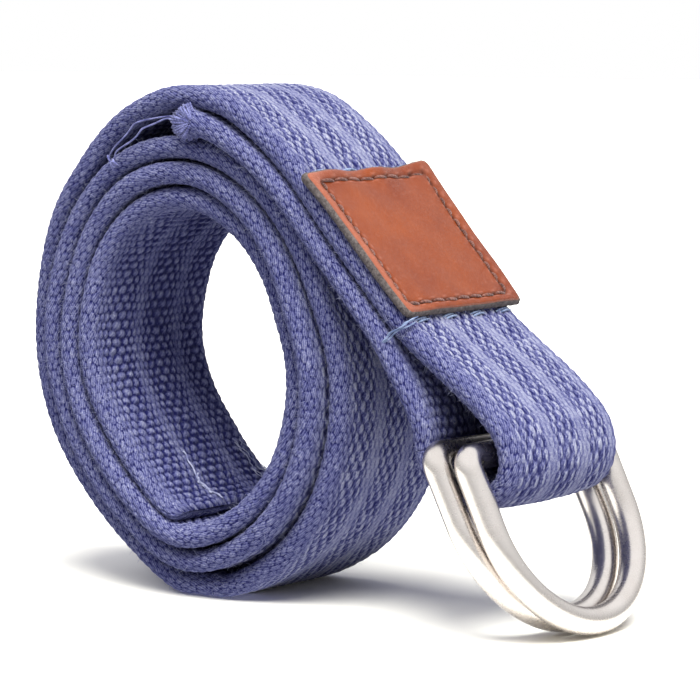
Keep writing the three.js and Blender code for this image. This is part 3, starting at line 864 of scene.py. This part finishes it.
# Threads through given points in the drawing's millimetres, smoothed, with a slow wobble.
def freeThreads(name, routes, radius, material, wobble, steps=60):
    rng = np.random.default_rng(7)
    paths = []
    for route in routes:
        at = np.linspace(0, len(route) - 1.001, steps)
        phase = rng.uniform(0, 6, 3)
        paths.append(through(np.array(route), at) + wobble * np.sin(at[:, None] * 2.6 + phase) + toPart)
    taper = 1 - 0.5 * np.abs(np.linspace(-1, 1, steps)) ** 8
    threadTubes(name, np.array(paths), (radius * taper)[None], material, 7)
freeThreads("seam_wrap", [
    [(52.4, -17.0, 59.6), (51.6, -18.4, 58.9), (50.6, -19.55, 57.9), (49.2, -19.7, 57.0),
     (47.8, -19.65, 56.2), (46.4, -19.75, 54.9), (45.2, -19.6, 53.5), (44.3, -18.6, 52.6)],
    [(51.8, -17.2, 59.0), (50.9, -18.5, 58.4), (50.0, -19.6, 57.6), (48.6, -19.8, 56.7),
     (47.2, -19.7, 55.7), (45.8, -19.8, 54.3), (45.0, -19.6, 52.9), (44.4, -18.5, 52.0)],
    [(52.0, -17.4, 58.6), (50.6, -19.3, 57.3), (49.0, -19.5, 56.6), (47.3, -19.6, 55.2), (46.0, -19.6, 53.9),
     (45.6, -19.4, 52.4), (45.0, -18.5, 51.4)]], 0.17, paleThread, 0.12)
freeThreads("loose_strands", [
    [(-23.6, -16.9, 87.0), (-23.2, -17.6, 87.9), (-21.4, -17.7, 90.0), (-18.5, -17.6, 92.4),
     (-16.9, -17.7, 94.2), (-15.1, -17.6, 95.1), (-12.5, -17.5, 95.4), (-8.4, -17.4, 96.2),
     (-5.6, -16.5, 96.4)],
    [(-22.2, -17.2, 86.6), (-20.9, -18.1, 88.4), (-18.3, -18.2, 90.5), (-15.1, -18.2, 92.4),
     (-13.1, -18.2, 93.9), (-10.5, -18.1, 95.0), (-7.4, -17.8, 95.6), (-5.4, -16.8, 95.4),
     (-4.0, -16.0, 95.2)]], 0.18, blueYarn, 0.14)
freeThreads("loose_knot", [
    [(-22.4, -17.6, 86.4), (-21.7, -18.4, 87.1), (-21.0, -18.7, 86.9), (-20.8, -18.6, 86.2),
     (-21.3, -18.4, 85.8), (-21.8, -18.5, 86.2), (-21.4, -18.9, 86.8), (-20.7, -18.6, 86.6),
     (-20.4, -17.9, 86.0)],
    [(-23.2, -17.0, 87.2), (-23.3, -17.8, 87.9), (-22.9, -18.0, 87.2), (-22.5, -18.0, 86.4),
     (-22.0, -18.1, 85.7), (-21.7, -18.2, 85.2)]], 0.20, blueYarn, 0.05)

innerThread = {"radius": 0.17, "up": 0.32, "runs": ((15.6, 0.6, -3.4), (9.6, 3.5, -4.0)),
               "hairs": 16, "hairRadius": 0.0935, "hairLong": (1.5, 4.0)}


# Pale thread along the inner face of the last turn, wandering on slow sines, and a few short hairs that
# rise on its far side. A run is from and to, counted back from the end, and y across.
def innerStrands(c):
    end = strap["length"]
    t = np.linspace(0, 1, 40)
    paths = []
    for k, (begin, stop, middle) in enumerate(c["runs"]):
        wander = 0.35 * np.sin(t * 9.0 + k) + 0.2 * np.sin(t * 23.0 + 2 * k) - 3.2 * t * (1 - t)
        up = c["up"] + 0.10 * np.sin(t * 31.0 + k)
        paths.append(onStrap(end - begin + (begin - stop) * t, middle + wander, up, -1))
    rng = np.random.default_rng(11)
    for k in range(c["hairs"]):
        s, y, lean = end - rng.uniform(8, 17), rng.uniform(13.5, 17.5), rng.normal(0, 0.5)
        long = rng.uniform(*c["hairLong"])
        rise = 0.2 + 0.6 * t * (1 - 0.5 * t)
        paths.append(onStrap(s + long * t, y + lean * t + 0.2 * np.sin(t * 7 + k), rise, -1))
    radius = np.array([c["radius"]] * len(c["runs"]) + [c["hairRadius"]] * c["hairs"])
    threadTubes("inner_strands", np.array(paths), radius[:, None], fluff)


innerStrands(innerThread)

frayed = {"middle": (0.3, 95.1), "from": 108, "to": 246, "root": 1.2, "tip": 4.9, "wide": 1.25, "tall": 0.85,
          "radius": 0.20, "count": 440}


# Cut yarns fanning from the near corner of the folded-back end: each runs outward from its root to a
# tip on an oval arc, bends a little and thins.
def frayedEnd(c):
    rng = np.random.default_rng(3)
    n = c["count"]
    turn = np.radians(rng.uniform(c["from"], c["to"], n))[:, None]
    y = rng.uniform(-20.6, -14.5, n)
    tip = c["tip"] + rng.normal(0, 0.14, n) - 0.8 * np.clip(-19.2 - y, 0, 2) - 0.10 * (y + 20)
    root = c["root"] + rng.uniform(-0.5, 0.5, n)
    t = np.linspace(0, 1, 9)[None]
    turn = turn + rng.normal(0, 0.05, (n, 1)) * t ** 2
    reach = root[:, None] + (tip - root)[:, None] * t
    stray = 0.14 * rng.normal(0, 1, (n, 1)) * t
    path = np.stack([c["middle"][0] + reach * c["wide"] * np.cos(turn), y[:, None] + stray,
                     c["middle"][1] + reach * c["tall"] * np.sin(turn)], -1) + toPart
    thick = c["radius"] * rng.uniform(0.7, 1.15, (n, 1)) * (1 - 0.35 * t ** 3)
    threadTubes("frayed_end", path, thick, blueYarn)


frayedEnd(frayed)

fuzz = {"count": 3400, "near": 0.7, "radius": 0.032, "long": 1.0, "root": 0.6, "curl": 0.5, "floor": 0.05}


# Fine fluff round the woven edges: short hairs that leave the round edge outward and curl along it.
def edgeFuzz(c):
    rng = np.random.default_rng(21)
    n = c["count"]
    x, z, back, thick, head = strapAt(rng.uniform(3, strap["length"] - 2, n)[:, None])
    side = np.where(rng.uniform(0, 1, (n, 1)) < c["near"], -1, 1)
    t = np.linspace(0, 1, 4)[None]
    long = c["long"] * rng.uniform(0.3, 1.3, (n, 1))
    turn = rng.uniform(0.2, pi - 0.2, (n, 1)) + rng.normal(0, 0.35, (n, 1)) * t
    out = thick / 2 - c["root"] + (c["root"] + long) * t
    slide = long * (rng.normal(0, c["curl"], (n, 1)) * t + rng.normal(0, c["curl"], (n, 1)) * t ** 2)
    y = side * (strapSize["wide"] / 2 - thick / 2 + out * np.sin(turn)) + back
    h = out * np.cos(turn)
    path = np.stack([x + np.sin(head) * h + np.cos(head) * slide, y,
                     np.maximum(z - np.cos(head) * h + np.sin(head) * slide, c["floor"])], -1) + toPart
    threadTubes("edge_fuzz", path, c["radius"] * (1 - 0.5 * t), fluff, 3)


edgeFuzz(fuzz)
print("threads made")


studio = {"floor": (0.93, 0.91, 0.81), "floorBox": (-8, 8, -8, 8), "floorDown": 0.0003,
          "shade": (0.03, 0.03, 0.035), "shadeBox": (-0.056, 0.012, -0.004, 0.045), "shadeDown": 0.0008,
          "cool": (0.65, 0.68, 1.0), "horizon": 0.14, "sky": 0.44, "below": 0.60, "shine": 2.9}
lamps = {"key": (6.5, 40, (0.52, -0.42, 1.28)),  # strength, softness in degrees, where from
         "fill": (1.6, 45, (-0.18, -0.80, 1.05)),
         "bounce": (2.3, 80, (0.85, -0.34, -0.42))}


# A level rectangle: left, right, front and rear, a little below the ground.
def levelCard(name, box, down, material):
    left, right, front, rear = box
    corners = [(left, front, -down), (right, front, -down), (right, rear, -down), (left, rear, -down)]
    mesh = bpy.data.meshes.new(name)
    mesh.from_pydata(corners, [], [(0, 1, 2, 3)])
    mesh.materials.append(material)
    return placed(name, mesh)


# The world is white to look at. As a light it is a cool ramp up to the sky plus one down below, and
# metal mirrors it brighter, as it would large panels.
def makeWorld(c):
    world = bpy.data.worlds.new("studio")
    world.use_nodes = True
    sky = Nodes(world.node_tree)
    height = sky.parts(sky.node("TexCoord", out="Generated"))[2]

    def isRay(kind):
        return sky.node("LightPath", out="Is " + kind + " Ray")

    def ramp(low, high, atLow, atHigh):
        return sky.node("MapRange", None, {"Value": height, "From Min": low, "From Max": high,
                                           "To Min": atLow, "To Max": atHigh})

    light = ramp(-0.05, 0.65, c["horizon"], c["sky"]) + ramp(-0.35, 0.0, c["below"], 0.0)
    light = light * (isRay("Glossy") * (c["shine"] - 1) + 1.0)
    level = sky.node("Mix", None, {0: isRay("Camera"), 2: light, 3: 1.0})
    tint = sky.mix(isRay("Diffuse"), (1, 1, 1), c["cool"])
    for flow, socket in ((tint, "Color"), (level, "Strength")):
        sky.tree.links.new(flow.socket, sky.tree.nodes["Background"].inputs[socket])
    scene.world = world


def makeStudio(c):
    pale = Finish("pale_floor").done(Base_Color=c["floor"], Roughness=0.8)
    dark = Finish("shaded_ground").done(Base_Color=c["shade"], Roughness=1.0)
    floor = levelCard("floor", c["floorBox"], c["floorDown"], pale)
    # its bounce comes from the world's lower half and the bounce lamp instead
    floor.visible_diffuse = False
    floor.visible_shadow = False
    # out of sight, the shaded ground keeps that light off the foot of the roll
    shade = levelCard("shade", c["shadeBox"], c["shadeDown"], dark)
    shade.visible_camera = False
    shade.visible_glossy = False
    makeWorld(c)
    for name, (strength, softness, source) in lamps.items():
        data = bpy.data.lights.new(name, "SUN")
        data.energy, data.angle = strength, radians(softness)
        lamp = placed(name, data)
        lamp.rotation_euler = Vector(source).to_track_quat("Z", "Y").to_euler()
        lamp.visible_glossy = False  # the metal mirrors the world, not the lamps
    scene.view_settings.view_transform = "Standard"


makeStudio(studio)
print("studio made")
